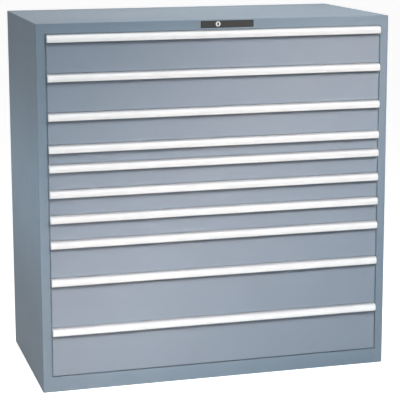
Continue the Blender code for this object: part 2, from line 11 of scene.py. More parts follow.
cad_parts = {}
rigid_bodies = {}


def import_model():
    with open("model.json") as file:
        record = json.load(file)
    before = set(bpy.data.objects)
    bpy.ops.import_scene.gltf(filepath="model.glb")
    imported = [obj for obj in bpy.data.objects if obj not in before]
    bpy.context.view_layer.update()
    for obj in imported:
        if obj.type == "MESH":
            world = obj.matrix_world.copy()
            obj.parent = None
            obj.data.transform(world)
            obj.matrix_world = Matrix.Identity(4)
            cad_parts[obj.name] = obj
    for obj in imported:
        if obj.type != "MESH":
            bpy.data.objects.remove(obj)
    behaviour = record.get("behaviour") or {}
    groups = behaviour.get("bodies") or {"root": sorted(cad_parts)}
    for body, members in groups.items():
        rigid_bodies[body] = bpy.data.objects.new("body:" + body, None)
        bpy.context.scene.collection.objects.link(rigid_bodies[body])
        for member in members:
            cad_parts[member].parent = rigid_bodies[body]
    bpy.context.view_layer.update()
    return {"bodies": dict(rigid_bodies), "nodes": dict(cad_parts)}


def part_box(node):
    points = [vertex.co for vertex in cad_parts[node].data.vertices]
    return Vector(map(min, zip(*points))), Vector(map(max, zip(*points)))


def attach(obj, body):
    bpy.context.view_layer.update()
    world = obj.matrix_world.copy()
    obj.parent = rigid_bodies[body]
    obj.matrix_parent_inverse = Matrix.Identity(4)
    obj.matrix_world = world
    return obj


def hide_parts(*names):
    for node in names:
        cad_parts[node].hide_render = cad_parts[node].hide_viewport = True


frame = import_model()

# Places read from the frame
LID_LOW, LID_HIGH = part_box("top_panel")
SIDE_LOW, SIDE_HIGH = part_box("housing_side_right")
FASCIA_LOW, FASCIA_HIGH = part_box("top_fascia")
RAIL_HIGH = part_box("bottom_rail")[1]
WALL_LOW, WALL_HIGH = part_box("runner_wall_right")
PLATE_LOW, PLATE_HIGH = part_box("lock_plate")
LOCK_LOW, LOCK_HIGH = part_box("lock_cylinder")
BACK_LOW, BACK_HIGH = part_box("back_panel")
LOCK_Z = (LOCK_LOW.z + LOCK_HIGH.z) / 2
LOCK_BAR_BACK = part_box("lock_bar")[1].y
TAGS = [name[-2:] for name in sorted(frame["bodies"]) if name.startswith("drawer_")]

FRONT_Y = SIDE_LOW.y
BACK_Y = SIDE_HIGH.y
HALF_WIDTH = LID_HIGH.x
POST_EDGE = SIDE_LOW.x
RETURN_END = FASCIA_HIGH.y
RUNNER_FRONT = WALL_LOW.y
TRAY_BACK_Y = WALL_HIGH.y
CARRIAGE_LOW, CARRIAGE_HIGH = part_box(f"carriage_right_{TAGS[0]}")

# Limits: how close counts as touching, how nearly a face looks one way, and a place well outside
TOUCH = 0.0003
FACING = 0.5
FAR = 10

# Shared fineness of bends and turned forms, in steps, sides and degrees
FOLD_STEPS = 4
FOLD_DEGREES = 40
EDGE_STEPS = 2
EDGE_DEGREES = 60
CORNER_STEPS = 6
FILLET_STEPS = 4
SMALL_SIDES = 24
ROUND_PROFILE = 0.5
SHARP_DEGREES = 35
EVEN_WEIGHT = 90

# Housing sheet
CASE_SHEET = 0.002
FOLD_RADIUS = 0.003
REAR_FLANGE = 0.025
STOP_SETBACK = 0.005
STOP_SHEET = 0.0015
STOP_CLEARANCE = 0.0007
FOOT_FLANGE = 0.025

# Back panel
BACK_SHEET = 0.0012
BEAD_COUNT = 4
BEAD_WIDTH = 0.036
BEAD_SLOPE = 0.009
BEAD_DEPTH = 0.004
BEAD_MARGIN = 0.110
BEAD_STEPS = 6
BEAD_END_STEPS = 12
SCREW_RADIUS = 0.0045
SCREW_RISE = 0.0018
SCREW_ROOT = 0.0005
SCREW_DRIVE = 0.0018
SCREW_DRIVE_DEPTH = 0.0010
SCREW_DOME_STEPS = 6
SCREW_MARGIN = 0.032
SCREWS_UP = 7
SCREWS_ACROSS = 6

# Drawer front
FRONT_SHEET = 0.0015
FRONT_RETURN = 0.018
FRONT_EDGE_RADIUS = 0.0035
FRONT_FOOT_RADIUS = 0.0015
FOOT_STEPS = 4
FOOT_DROP = 0.0013
FOOT_RISE = 0.0022

# Drawer tray
TRAY_SHEET = 0.0012
TRAY_LIFT = 0.008
TRAY_TOP_DROP = 0.0187
TRAY_FILLET = 0.003
TRAY_HEM = 0.0045
TRAY_HEM_DROP = 0.003
SLOT_PITCH = 0.017
SLOT_WIDTH = 0.0032
SLOT_LOW_MARGIN = 0.010
SLOT_HIGH_MARGIN = 0.008
SLOT_ROW_HEIGHT = 0.042
SLOT_BRIDGE = 0.009

# Runners
RAIL_SHEET = 0.0015
RAIL_CORNER = 0.0022
RUN_CLEARANCE = 0.0003
ROLLER_RADIUS = 0.009
ROLLER_WIDTH = 0.004
ROLLER_RIM = 0.0006
ROLLER_SIDES = 36
ROLLER_END_INSET = 0.020
OUTER_ROLLER_SHARE = 0.62
INNER_ROLLER_SHARE = 0.38
HUB_RADIUS = 0.0048
HUB_DEPTH = 0.0005
AXLE_RADIUS = 0.0028
AXLE_RISE = 0.0008
AXLE_STEPS = 4
CARRIAGE_SHEET = 0.002
CARRIAGE_CORNER = 0.006
UPRIGHT_WIDTH = 0.036
UPRIGHT_SETBACK = 0.0006
UPRIGHT_SHEET = 0.0012
UPRIGHT_SHARES = (0.10, 0.50, 0.90)
UPRIGHT_SLOT_PITCH = 0.025
UPRIGHT_SLOT_HEIGHT = 0.012
UPRIGHT_SLOT_WIDTH = 0.003
LUG_SETBACK = 0.002
LUG_SHEET = 0.003
LUG_LIFT = 0.004
LUG_HEIGHT = 0.008

# Places across the right-hand runner
TRAY_SIDE = CARRIAGE_LOW.x - RUN_CLEARANCE - RAIL_SHEET
DRAWER_RAIL_TIP = TRAY_SIDE + ROLLER_WIDTH + RAIL_SHEET + 2 * RUN_CLEARANCE
CARRIAGE_PLATE_IN = DRAWER_RAIL_TIP + RUN_CLEARANCE
CARRIAGE_PLATE_OUT = CARRIAGE_PLATE_IN + CARRIAGE_SHEET
CASE_RAIL_WEB = CARRIAGE_HIGH.x + RUN_CLEARANCE + RAIL_SHEET
CASE_RAIL_TIP = CARRIAGE_PLATE_OUT + RUN_CLEARANCE

# Grip rail, with the angles round its bull nose
CREST = 90
NOSE = 180
GRIP_WALL = 0.002
GRIP_BACK_WALL = 0.0015
GRIP_CREST_SHARE = 0.20
GRIP_NOSE_SHARE = 0.55
GRIP_LIP_SHARE = 0.55
GRIP_LIP_ANGLE = 60
GRIP_ARC_STEPS = 18
LABEL_START = 97
LABEL_END = 192
LABEL_EDGE = 1
LABEL_DEPTH = 0.0008
LABEL_PLAY = 0.0001
CAP_THICKNESS = 0.0015
CAP_ROUND = 0.0005

# Lock
PLATE_CORNER = 0.002
PLATE_RIM = 0.0026
PLATE_INSET = 0.0006
FIELD_PLAY = 0.0002
FIELD_RISE = 0.0003
RING_RADIUS = 0.0100
RING_CHAMFER = 0.0008
RING_LAND = 0.0018
RING_SIDES = 64
ROUNDING_SHARE = 1 / 3
PLUG_RADIUS = 0.0070
PLUG_SETBACK = 0.0006
KEYWAY_WIDTH = 0.0064
KEYWAY_HEIGHT = 0.0118
KEYWAY_DEPTH = 0.0080
# Setback of the near-black insert that paints the shade deep in the keyway
KEYWAY_SHADE_SETBACK = 0.0008
BARREL_RADIUS = 0.008
CAM_THICKNESS = 0.003
CAM_PIN_RADIUS = 0.002
CAM_PIN_REACH = 0.005
MARK_RADIUS = 0.0014
MARK_REACH = 0.0165
MARK_DROP = 0.003

# Camera at the photograph's viewpoint
CAMERA_PLACE = (-1.609, -5.466 + FRONT_Y, 1.900)
CAMERA_YAW = 15.69
CAMERA_PITCH = 10.20
CAMERA_ROLL = -0.17
CAMERA_FOCAL_PIXELS = 1462
PHOTO_PIXELS = 400
CAMERA_SHIFT_Y = -0.0875
SENSOR_WIDTH = 36

# Studio: place, aim, width, height, roll, spread, power and colour of each soft light
AMBIENT_STRENGTH = 0.25
NEUTRAL = (1.0, 1.0, 1.0)
WARM = (1.0, 0.69, 0.52)
COOL = (0.84, 0.95, 1.0)
LIGHTS = {
    "front_wide": ((0.0, -5.0, 2.4), (0, 0, 0.7), 3.0, 2.4, 0, 180, 8.0, NEUTRAL),
    "front_high": ((0.0, -5.0, 6.3), (0, -0.35, 0.6), 3.0, 1.4, 0, 90, 41.0, NEUTRAL),
    "diagonal_band": ((0.02, -3.6, 2.6), (0.0, -0.35, 0.80), 2.6, 0.12, 38, 24, 2.4, WARM),
    "upper_right": ((1.7, -3.25, 3.7), (0.35, -0.35, 1.15), 1.2, 1.8, 0, 40, 5.0, NEUTRAL),
    "upper_left": ((-1.6, -3.3, 3.0), (-0.55, -0.35, 1.25), 0.9, 0.9, 0, 30, 0.35, NEUTRAL),
    "lower_left": ((-0.9, -3.2, 3.0), (-0.6, -0.35, 0.1), 1.0, 0.7, 0, 25, 1.45, NEUTRAL),
    "lower_right": ((2.2, -3.2, 3.2), (0.45, -0.35, 0.3), 1.2, 0.8, 0, 40, 3.5, NEUTRAL),
    "top_spot": ((-0.1, 0.1, 4.0), (-0.1, 0.05, 1.45), 1.3, 0.6, 0, 20, 0.8, WARM),
    "side_spot": ((-3.4, -0.05, 0.95), (-0.7, 0.0, 0.76), 1.8, 0.5, 0, 20, 1.25, COOL),
    "left_front": ((-3.0, -2.6, 1.8), (-0.7, -0.2, 1.1), 0.5, 1.5, 0, 45, 1.1, COOL),
    "right_fill": ((3.6, 0.9, 2.6), (0.7, 0, 0.75), 1.6, 1.2, 0, 60, 10.0, NEUTRAL),
    "back_fill": ((0.6, 3.9, 2.6), (0, 0.37, 0.75), 1.6, 1.2, 0, 60, 12.0, NEUTRAL),
}
FLOOR_RADIUS = 30
FLOOR_SIDES = 64
FLOOR_COLOUR = 0.50
FLOOR_GLOW = 0.84
FLOOR_GAP = 0.0005


# Camera, light and floor

def make_camera():
    data = bpy.data.cameras.new("photo_camera")
    data.sensor_width = SENSOR_WIDTH
    data.lens = CAMERA_FOCAL_PIXELS / PHOTO_PIXELS * SENSOR_WIDTH
    data.shift_y = CAMERA_SHIFT_Y
    camera = bpy.data.objects.new("photo_camera", data)
    bpy.context.scene.collection.objects.link(camera)
    yaw = Matrix.Rotation(math.radians(-CAMERA_YAW), 4, "Z")
    pitch = Matrix.Rotation(math.radians(90 - CAMERA_PITCH), 4, "X")
    roll = Matrix.Rotation(math.radians(CAMERA_ROLL), 4, "Z")
    camera.matrix_world = Matrix.Translation(CAMERA_PLACE) @ yaw @ pitch @ roll
    bpy.context.scene.camera = camera


def make_light(name, place, target, width, height, roll, spread, power, colour):
    """Soft box aimed at a target, turned by its roll and narrowed by its spread."""
    data = bpy.data.lights.new(name, "AREA")
    data.shape = "RECTANGLE"
    data.size = width
    data.size_y = height
    data.spread = math.radians(spread)
    data.energy = power
    data.color = colour
    light = bpy.data.objects.new(name, data)
    aim = (Vector(target) - Vector(place)).to_track_quat("-Z", "Y").to_matrix().to_4x4()
    light.matrix_world = Matrix.Translation(place) @ aim @ Matrix.Rotation(math.radians(roll), 4, "Z")
    light.visible_camera = False
    light.visible_glossy = False
    bpy.context.scene.collection.objects.link(light)


def seen_directly(nodes, links):
    """A factor that is 1 for rays from the camera and for what gloss and glass show."""
    path = nodes.new("ShaderNodeLightPath")
    factor = path.outputs["Is Camera Ray"]
    for ray in ("Is Glossy Ray", "Is Transmission Ray"):
        larger = nodes.new("ShaderNodeMath")
        larger.operation = "MAXIMUM"
        links.new(factor, larger.inputs[0])
        links.new(path.outputs[ray], larger.inputs[1])
        factor = larger.outputs[0]
    return factor


def make_world():
    world = bpy.data.worlds.new("studio")
    world.use_nodes = True
    bpy.context.scene.world = world
    nodes, links = world.node_tree.nodes, world.node_tree.links
    nodes.clear()
    ambient = nodes.new("ShaderNodeBackground")
    ambient.inputs["Color"].default_value = (*NEUTRAL, 1.0)
    ambient.inputs["Strength"].default_value = AMBIENT_STRENGTH
    white = nodes.new("ShaderNodeBackground")
    white.inputs["Color"].default_value = (*NEUTRAL, 1.0)
    blend = nodes.new("ShaderNodeMixShader")
    out = nodes.new("ShaderNodeOutputWorld")
    links.new(seen_directly(nodes, links), blend.inputs["Fac"])
    links.new(ambient.outputs[0], blend.inputs[1])
    links.new(white.outputs[0], blend.inputs[2])
    links.new(blend.outputs[0], out.inputs["Surface"])


def make_floor():
    """Pale floor that keeps the cabinet's shadow and runs out into the white backdrop."""
    shape = bmesh.new()
    bmesh.ops.create_circle(shape, cap_ends=True, segments=FLOOR_SIDES, radius=FLOOR_RADIUS)
    mesh = bpy.data.meshes.new("floor")
    shape.to_mesh(mesh)
    shape.free()
    floor = bpy.data.objects.new("floor", mesh)
    floor.location = (0, 0, -FLOOR_GAP)
    bpy.context.scene.collection.objects.link(floor)
    surface = bpy.data.materials.new("pale_floor")
    surface.use_nodes = True
    nodes, links = surface.node_tree.nodes, surface.node_tree.links
    nodes.clear()
    diffuse = nodes.new("ShaderNodeBsdfDiffuse")
    diffuse.inputs["Color"].default_value = (FLOOR_COLOUR, FLOOR_COLOUR, FLOOR_COLOUR, 1.0)
    glow = nodes.new("ShaderNodeEmission")
    strength = nodes.new("ShaderNodeMath")
    strength.operation = "MULTIPLY"
    strength.inputs[1].default_value = FLOOR_GLOW
    links.new(seen_directly(nodes, links), strength.inputs[0])
    links.new(strength.outputs[0], glow.inputs["Strength"])
    total = nodes.new("ShaderNodeAddShader")
    out = nodes.new("ShaderNodeOutputMaterial")
    links.new(diffuse.outputs[0], total.inputs[0])
    links.new(glow.outputs[0], total.inputs[1])
    links.new(total.outputs[0], out.inputs["Surface"])
    mesh.materials.append(surface)


def make_stage():
    make_camera()
    make_world()
    make_floor()
    for name, setting in LIGHTS.items():
        make_light(name, *setting)
    bpy.context.scene.view_settings.view_transform = "Standard"


# Materials: a colour wanders by its change, noise scales are per metre, and relief is in metres

NOISE_LOW = 0.3
NOISE_HIGH = 0.7
PAINT_GLOSS = 0.1
PAINT_CHANGE = 0.018
PAINT_MOTTLE_SCALE = 5
PAINT_PATCH_SCALE = 26
PAINT_PATCH_CHANGE = 0.03
PAINT_WAVE_SCALE = 7
PAINT_WAVE_HEIGHT = 0.0010
PAINT_WAVE_STRENGTH = 0.06
PAINT_PEEL_SCALE = 620
PAINT_PEEL_HEIGHT = 0.0002
PAINT_PEEL_STRENGTH = 0.30
METAL_CHANGE = 0.05
METAL_TONE_SCALE = 12
METAL_GRAIN_SCALE = 300
METAL_GRAIN_CHANGE = 0.06
METAL_GRAIN_HEIGHT = 0.0001
METAL_GRAIN_STRENGTH = 0.25
PLASTIC_CHANGE = 0.02
PLASTIC_TONE_SCALE = 18
PLASTIC_GRAIN_CHANGE = 0.05
PLASTIC_GRAIN_HEIGHT = 0.00008
PLASTIC_GRAIN_STRENGTH = 0.3
PLASTIC_GLOSS = 0.5
DULL_GLOSS = 0.2
DEEP_GLOSS = 0.1


def new_material(name):
    """A material with its nodes, its links and its shader."""
    made = bpy.data.materials.new(name)
    made.use_nodes = True
    tree = made.node_tree
    return made, tree.nodes, tree.links, tree.nodes["Principled BSDF"]


def object_noise(nodes, links, scale, detail, stretch=(1, 1, 1)):
    """Noise that is fixed to the piece."""
    coords = nodes.new("ShaderNodeTexCoord")
    mapping = nodes.new("ShaderNodeMapping")
    mapping.inputs["Scale"].default_value = stretch
    noise = nodes.new("ShaderNodeTexNoise")
    noise.inputs["Scale"].default_value = scale
    noise.inputs["Detail"].default_value = detail
    links.new(coords.outputs["Object"], mapping.inputs["Vector"])
    links.new(mapping.outputs["Vector"], noise.inputs["Vector"])
    return noise.outputs["Fac"]


def spread(nodes, links, value, low, high):
    """Map the middle of a noise's range to the range from low to high."""
    span = nodes.new("ShaderNodeMapRange")
    span.inputs["From Min"].default_value = NOISE_LOW
    span.inputs["From Max"].default_value = NOISE_HIGH
    span.inputs["To Min"].default_value = low
    span.inputs["To Max"].default_value = high
    links.new(value, span.inputs["Value"])
    return span.outputs["Result"]


def two_tones(nodes, links, value, colour, change):
    """Wander between a slightly darker and a slightly lighter tone of a colour."""
    blend = nodes.new("ShaderNodeMix")
    blend.data_type = "RGBA"
    blend.inputs["A"].default_value = (*[part * (1 - change) for part in colour], 1.0)
    blend.inputs["B"].default_value = (*[part * (1 + change) for part in colour], 1.0)
    links.new(spread(nodes, links, value, 0, 1), blend.inputs["Factor"])
    return blend.outputs["Result"]


def relief(nodes, links, value, height, strength, under=None):
    """A bump from a noise, laid over another one if it's given."""
    bump = nodes.new("ShaderNodeBump")
    bump.inputs["Distance"].default_value = height
    bump.inputs["Strength"].default_value = strength
    links.new(value, bump.inputs["Height"])
    if under:
        links.new(under, bump.inputs["Normal"])
    return bump.outputs["Normal"]


def rough(nodes, links, shader, value, roughness, change):
    """Roughness that wanders with a noise to either side of its value."""
    span = spread(nodes, links, value, roughness - change, roughness + change)
    links.new(span, shader.inputs["Roughness"])


def powder_coat(name, colour, roughness):
    """Satin powder coat: faint mottle, orange peel and a slow waviness of the sheet."""
    made, nodes, links, shader = new_material(name)
    shader.inputs["Specular IOR Level"].default_value = PAINT_GLOSS
    mottle = object_noise(nodes, links, PAINT_MOTTLE_SCALE, detail=3)
    links.new(two_tones(nodes, links, mottle, colour, PAINT_CHANGE), shader.inputs["Base Color"])
    patches = object_noise(nodes, links, PAINT_PATCH_SCALE, detail=4)
    rough(nodes, links, shader, patches, roughness, PAINT_PATCH_CHANGE)
    waves = object_noise(nodes, links, PAINT_WAVE_SCALE, detail=1)
    under = relief(nodes, links, waves, PAINT_WAVE_HEIGHT, PAINT_WAVE_STRENGTH)
    peel = object_noise(nodes, links, PAINT_PEEL_SCALE, detail=2)
    over = relief(nodes, links, peel, PAINT_PEEL_HEIGHT, PAINT_PEEL_STRENGTH, under)
    links.new(over, shader.inputs["Normal"])
    return made


def grained_metal(name, colour, roughness, metallic, stretch):
    """Metal with a fine grain, drawn out along one way."""
    made, nodes, links, shader = new_material(name)
    tone = object_noise(nodes, links, METAL_TONE_SCALE, detail=4)
    links.new(two_tones(nodes, links, tone, colour, METAL_CHANGE), shader.inputs["Base Color"])
    grain = object_noise(nodes, links, METAL_GRAIN_SCALE, detail=3, stretch=stretch)
    rough(nodes, links, shader, grain, roughness, METAL_GRAIN_CHANGE)
    ridges = relief(nodes, links, grain, METAL_GRAIN_HEIGHT, METAL_GRAIN_STRENGTH)
    links.new(ridges, shader.inputs["Normal"])
    shader.inputs["Metallic"].default_value = metallic
    return made


def moulded_plastic(name, colour, roughness, grain_scale, gloss=PLASTIC_GLOSS, metallic=0):
    """Plastic with a fine moulded grain, or a satin strip where it's part metallic."""
    made, nodes, links, shader = new_material(name)
    tone = object_noise(nodes, links, PLASTIC_TONE_SCALE, detail=3)
    links.new(two_tones(nodes, links, tone, colour, PLASTIC_CHANGE), shader.inputs["Base Color"])
    grain = object_noise(nodes, links, grain_scale, detail=3)
    rough(nodes, links, shader, grain, roughness, PLASTIC_GRAIN_CHANGE)
    pits = relief(nodes, links, grain, PLASTIC_GRAIN_HEIGHT, PLASTIC_GRAIN_STRENGTH)
    links.new(pits, shader.inputs["Normal"])
    shader.inputs["Specular IOR Level"].default_value = gloss
    shader.inputs["Metallic"].default_value = metallic
    return made


DRAWER_COLOUR = (0.264, 0.316, 0.383)
HOUSING_PAINT = powder_coat("housing_powder_coat", (0.214, 0.278, 0.342), 0.55)
FRONT_PAINT = powder_coat("front_powder_coat", DRAWER_COLOUR, 0.50)
TRAY_PAINT = powder_coat("tray_powder_coat", DRAWER_COLOUR, 0.55)
GRIP_METAL = grained_metal("grip_anodised", (0.84, 0.85, 0.86), 0.38, 0.40, (0.02, 1, 1))
LABEL_WHITE = moulded_plastic("label_strip_satin", (0.86, 0.87, 0.88), 0.34, 400, metallic=0.80)
CAP_WHITE = moulded_plastic("end_cap_white", (0.76, 0.78, 0.80), 0.38, 700)
ZINC = grained_metal("zinc_plated_sheet", (0.40, 0.42, 0.44), 0.38, 0.85, (1, 0.15, 1))
ROLLER_POLYMER = moulded_plastic("roller_polymer", (0.62, 0.62, 0.60), 0.42, 500)
# Lock plate in two tones: the rim's darker plastic is partly its own colour, partly painted shade along
# the border
LOCK_PLASTIC = moulded_plastic("lock_plate_plastic", (0.036, 0.038, 0.040), 0.50, 900, DULL_GLOSS)
FIELD_PLASTIC = moulded_plastic("lock_field_plastic", (0.052, 0.053, 0.052), 0.55, 900, DULL_GLOSS)
LOCK_NICKEL = grained_metal("lock_nickel", (0.80, 0.80, 0.80), 0.22, 1.0, (1, 1, 1))
# Near-black plastic: painted shade for the keyway's depth, and also the colour of the plate's mark
KEYWAY_DARK = moulded_plastic("keyway_shadow", (0.012, 0.012, 0.012), 0.60, 600, DEEP_GLOSS)


# Building blocks

def settle(piece):
    """Turn a piece's modifiers into its mesh."""
    graph = bpy.context.evaluated_depsgraph_get()
    mesh = bpy.data.meshes.new_from_object(piece.evaluated_get(graph))
    old = piece.data
    piece.modifiers.clear()
    piece.data = mesh
    bpy.data.meshes.remove(old)


def make_piece(
        name, shape, material, body, sheet=0, fold=0, degrees=FOLD_DEGREES, steps=FOLD_STEPS):
    """A piece from a shape, with its folds rounded and its sheet thickness put inside."""
    piece = bpy.data.objects.new(name, bpy.data.meshes.new(name))
    shape.to_mesh(piece.data)
    shape.free()
    bpy.context.scene.collection.objects.link(piece)
    if fold:
        rounding = piece.modifiers.new("folds", "BEVEL")
        rounding.width = fold
        rounding.segments = steps
        rounding.limit_method = "ANGLE"
        rounding.angle_limit = math.radians(degrees)
    if sheet:
        wall = piece.modifiers.new("sheet", "SOLIDIFY")
        wall.thickness = sheet
        wall.offset = -1
        wall.use_even_offset = True
    if fold or sheet:
        settle(piece)
    piece.data.materials.clear()
    piece.data.materials.append(material)
    piece.data.shade_smooth()
    piece.data.set_sharp_from_angle(angle=math.radians(SHARP_DEGREES))
    even = piece.modifiers.new("even_shading", "WEIGHTED_NORMAL")
    even.keep_sharp = True
    even.weight = EVEN_WEIGHT
    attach(piece, body)
    return piece


def cube_between(low, high):
    """A box between two corners."""
    shape = bmesh.new()
    bmesh.ops.create_cube(shape, size=1)
    size = Vector(high) - Vector(low)
    middle = (Vector(high) + Vector(low)) / 2
    bmesh.ops.transform(
        shape, matrix=Matrix.Translation(middle) @ Matrix.Diagonal((*size, 1)), verts=shape.verts)
    return shape


def open_side(shape, way):
    """Take away the faces that look one way."""
    faces = [face for face in shape.faces if face.normal.dot(Vector(way)) > FACING]
    bmesh.ops.delete(shape, geom=faces, context="FACES_ONLY")


def arc(centre, reach, rise, start, end, steps):
    """Points of an elliptical arc, with its angles in degrees."""
    points = []
    for index in range(steps + 1):
        angle = math.radians(start + (end - start) * index / steps)
        points.append((centre[0] + reach * math.cos(angle), centre[1] + rise * math.sin(angle)))
    return points


def rounded_rectangle(low_a, high_a, low_b, high_b, corner):
    outline = []
    for a, b, start in (
            (high_a - corner, high_b - corner, 0), (low_a + corner, high_b - corner, 90),
            (low_a + corner, low_b + corner, 180), (high_a - corner, low_b + corner, 270)):
        outline += arc((a, b), corner, corner, start, start + 90, CORNER_STEPS)
    return outline


def across(x, y, z):
    """Place a section that runs across the cabinet."""
    return (x, y, z)


def inward(y, x, z):
    """Place a section that runs along the cabinet's depth."""
    return (x, y, z)


def upward(z, x, y):
    """Place a section that runs up the cabinet."""
    return (x, y, z)


def loft(shape, section, stations, place, skip=None):
    """Sheet faces between copies of a section; skip(segment, gap) leaves an opening."""
    rows = [[shape.verts.new(place(station, *point)) for point in section] for station in stations]
    for gap in range(len(rows) - 1):
        for segment in range(len(section) - 1):
            if skip and skip(segment, gap):
                continue
            shape.faces.new((
                rows[gap][segment], rows[gap][segment + 1],
                rows[gap + 1][segment + 1], rows[gap + 1][segment]))


def run_outline(shape, outline, start, end, place):
    """A solid that runs a closed outline from start to end; place(station, a, b) gives a point."""
    near = [shape.verts.new(place(start, *point)) for point in outline]
    far = [shape.verts.new(place(end, *point)) for point in outline]
    for index in range(len(outline)):
        after = (index + 1) % len(outline)
        shape.faces.new((near[index], near[after], far[after], far[index]))
    shape.faces.new(near)
    shape.faces.new(far)


def turned(shape, profile, sides, matrix):
    """Turn (along, radius) points about X. The last ring comes back, open if it's off the axis."""
    rings = []
    for along, radius in profile:
        count = sides if radius else 1
        ring = []
        for index in range(count):
            angle = 2 * math.pi * index / sides
            point = (along, radius * math.cos(angle), radius * math.sin(angle))
            ring.append(shape.verts.new(matrix @ Vector(point)))
        rings.append(ring)
    for before, after in zip(rings, rings[1:]):
        for index in range(sides):
            following = (index + 1) % sides
            corners = [before[index % len(before)], before[following % len(before)]]
            corners += [after[following % len(after)], after[index % len(after)]]
            shape.faces.new(list(dict.fromkeys(corners)))
    return rings[-1]


def turn_away(shape, centre, start=0):
    """Turn the faces of an open sheet, from a given one on, away from a point."""
    shape.faces.ensure_lookup_table()
    shape.normal_update()
    for face in shape.faces[start:]:
        if face.normal.dot(face.calc_center_median() - Vector(centre)) < 0:
            face.normal_flip()


def turn_out(shape):
    """Turn the faces of a closed shape outwards."""
    bmesh.ops.recalc_face_normals(shape, faces=shape.faces)


def drop_loose(shape):
    """Take away the points that no face uses."""
    loose = [vert for vert in shape.verts if not vert.link_faces]
    bmesh.ops.delete(shape, geom=loose, context="VERTS")


# Housing

def make_shell():
    """Welded shell: sides, posts, fascia and bottom rail as one skin round the drawer opening."""
    shape = bmesh.new()
    xs = (-HALF_WIDTH, -POST_EDGE, POST_EDGE, HALF_WIDTH)
    zs = (SIDE_LOW.z, RAIL_HIGH.z, FASCIA_LOW.z, SIDE_HIGH.z)
    front = [[shape.verts.new((x, FRONT_Y, z)) for x in xs] for z in zs]
    for row in range(len(zs) - 1):
        for column in range(len(xs) - 1):
            if row == 1 and column == 1:
                continue
            shape.faces.new((
                front[row][column], front[row][column + 1],
                front[row + 1][column + 1], front[row + 1][column]))
    for side in (-1, 1):
        line = [row[-1 if side > 0 else 0] for row in front]
        back = [shape.verts.new((side * HALF_WIDTH, BACK_Y, z)) for z in zs]
        flange = [shape.verts.new((side * (HALF_WIDTH - REAR_FLANGE), BACK_Y, z)) for z in zs]
        for near, far in ((line, back), (back, flange)):
            for row in range(len(zs) - 1):
                corners = (near[row], far[row], far[row + 1], near[row + 1])
                shape.faces.new(corners if side > 0 else corners[::-1])
    mouth = [front[1][1], front[1][2], front[2][2], front[2][1]]
    inner = [shape.verts.new((vert.co.x, RETURN_END, vert.co.z)) for vert in mouth]
    for index in range(len(mouth)):
        after = (index + 1) % len(mouth)
        shape.faces.new((mouth[index], mouth[after], inner[after], inner[index]))
    shell = make_piece(
        "housing_shell", shape, HOUSING_PAINT, "housing", CASE_SHEET, FOLD_RADIUS)
    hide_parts("housing_side_left", "housing_side_right", "top_fascia", "bottom_rail")


def make_stop_strips():
    """Painted strips inside the posts' folds that close the gap beside the fronts."""
    grip_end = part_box(f"handle_{TAGS[0]}")[1].x
    inner = grip_end + STOP_CLEARANCE
    near = FRONT_Y + STOP_SETBACK
    far = near + STOP_SHEET
    outline = [(inner, near), (POST_EDGE, near), (POST_EDGE, far), (inner, far)]
    shape = bmesh.new()
    for side in (-1, 1):
        run_outline(shape, outline, RAIL_HIGH.z, FASCIA_LOW.z, lambda z, x, y: (side * x, y, z))
    turn_out(shape)
    make_piece("stop_strips", shape, HOUSING_PAINT, "housing")


def make_foot_flanges():
    """Flanges that the shell stands on: along both sides and under the bottom rail."""
    shape = bmesh.new()
    outer = HALF_WIDTH - CASE_SHEET
    inner = HALF_WIDTH - CASE_SHEET - FOOT_FLANGE
    front = FRONT_Y + CASE_SHEET
    back = BACK_Y - CASE_SHEET
    outline = [
        (-outer, front), (outer, front), (outer, back), (inner, back),
        (inner, RETURN_END), (-inner, RETURN_END), (-inner, back), (-outer, back)]
    run_outline(shape, outline, SIDE_LOW.z, SIDE_LOW.z + CASE_SHEET, upward)
    turn_out(shape)
    make_piece("foot_flanges", shape, HOUSING_PAINT, "housing")


def make_lid():
    shape = cube_between(LID_LOW, LID_HIGH)
    open_side(shape, (0, 0, -1))
    lid = make_piece(
        "lid_skin", shape, HOUSING_PAINT, "housing", CASE_SHEET, FOLD_RADIUS)
    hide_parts("top_panel")


def bead_rings(middle_x, low_z, high_z):
    """Outlines of a pressed bead with round ends, from its rim in to its floor."""
    rings = []
    for index in range(BEAD_STEPS + 1):
        share = index / BEAD_STEPS
        half = BEAD_WIDTH / 2 - BEAD_SLOPE * share
        y = BACK_HIGH.y - BEAD_DEPTH * (1 - math.cos(math.pi * share)) / 2
        outline = arc((middle_x, high_z), half, half, 180, 0, BEAD_END_STEPS)
        outline += arc((middle_x, low_z), half, half, 0, -180, BEAD_END_STEPS)
        rings.append([(x, y, z) for x, z in outline])
    return rings


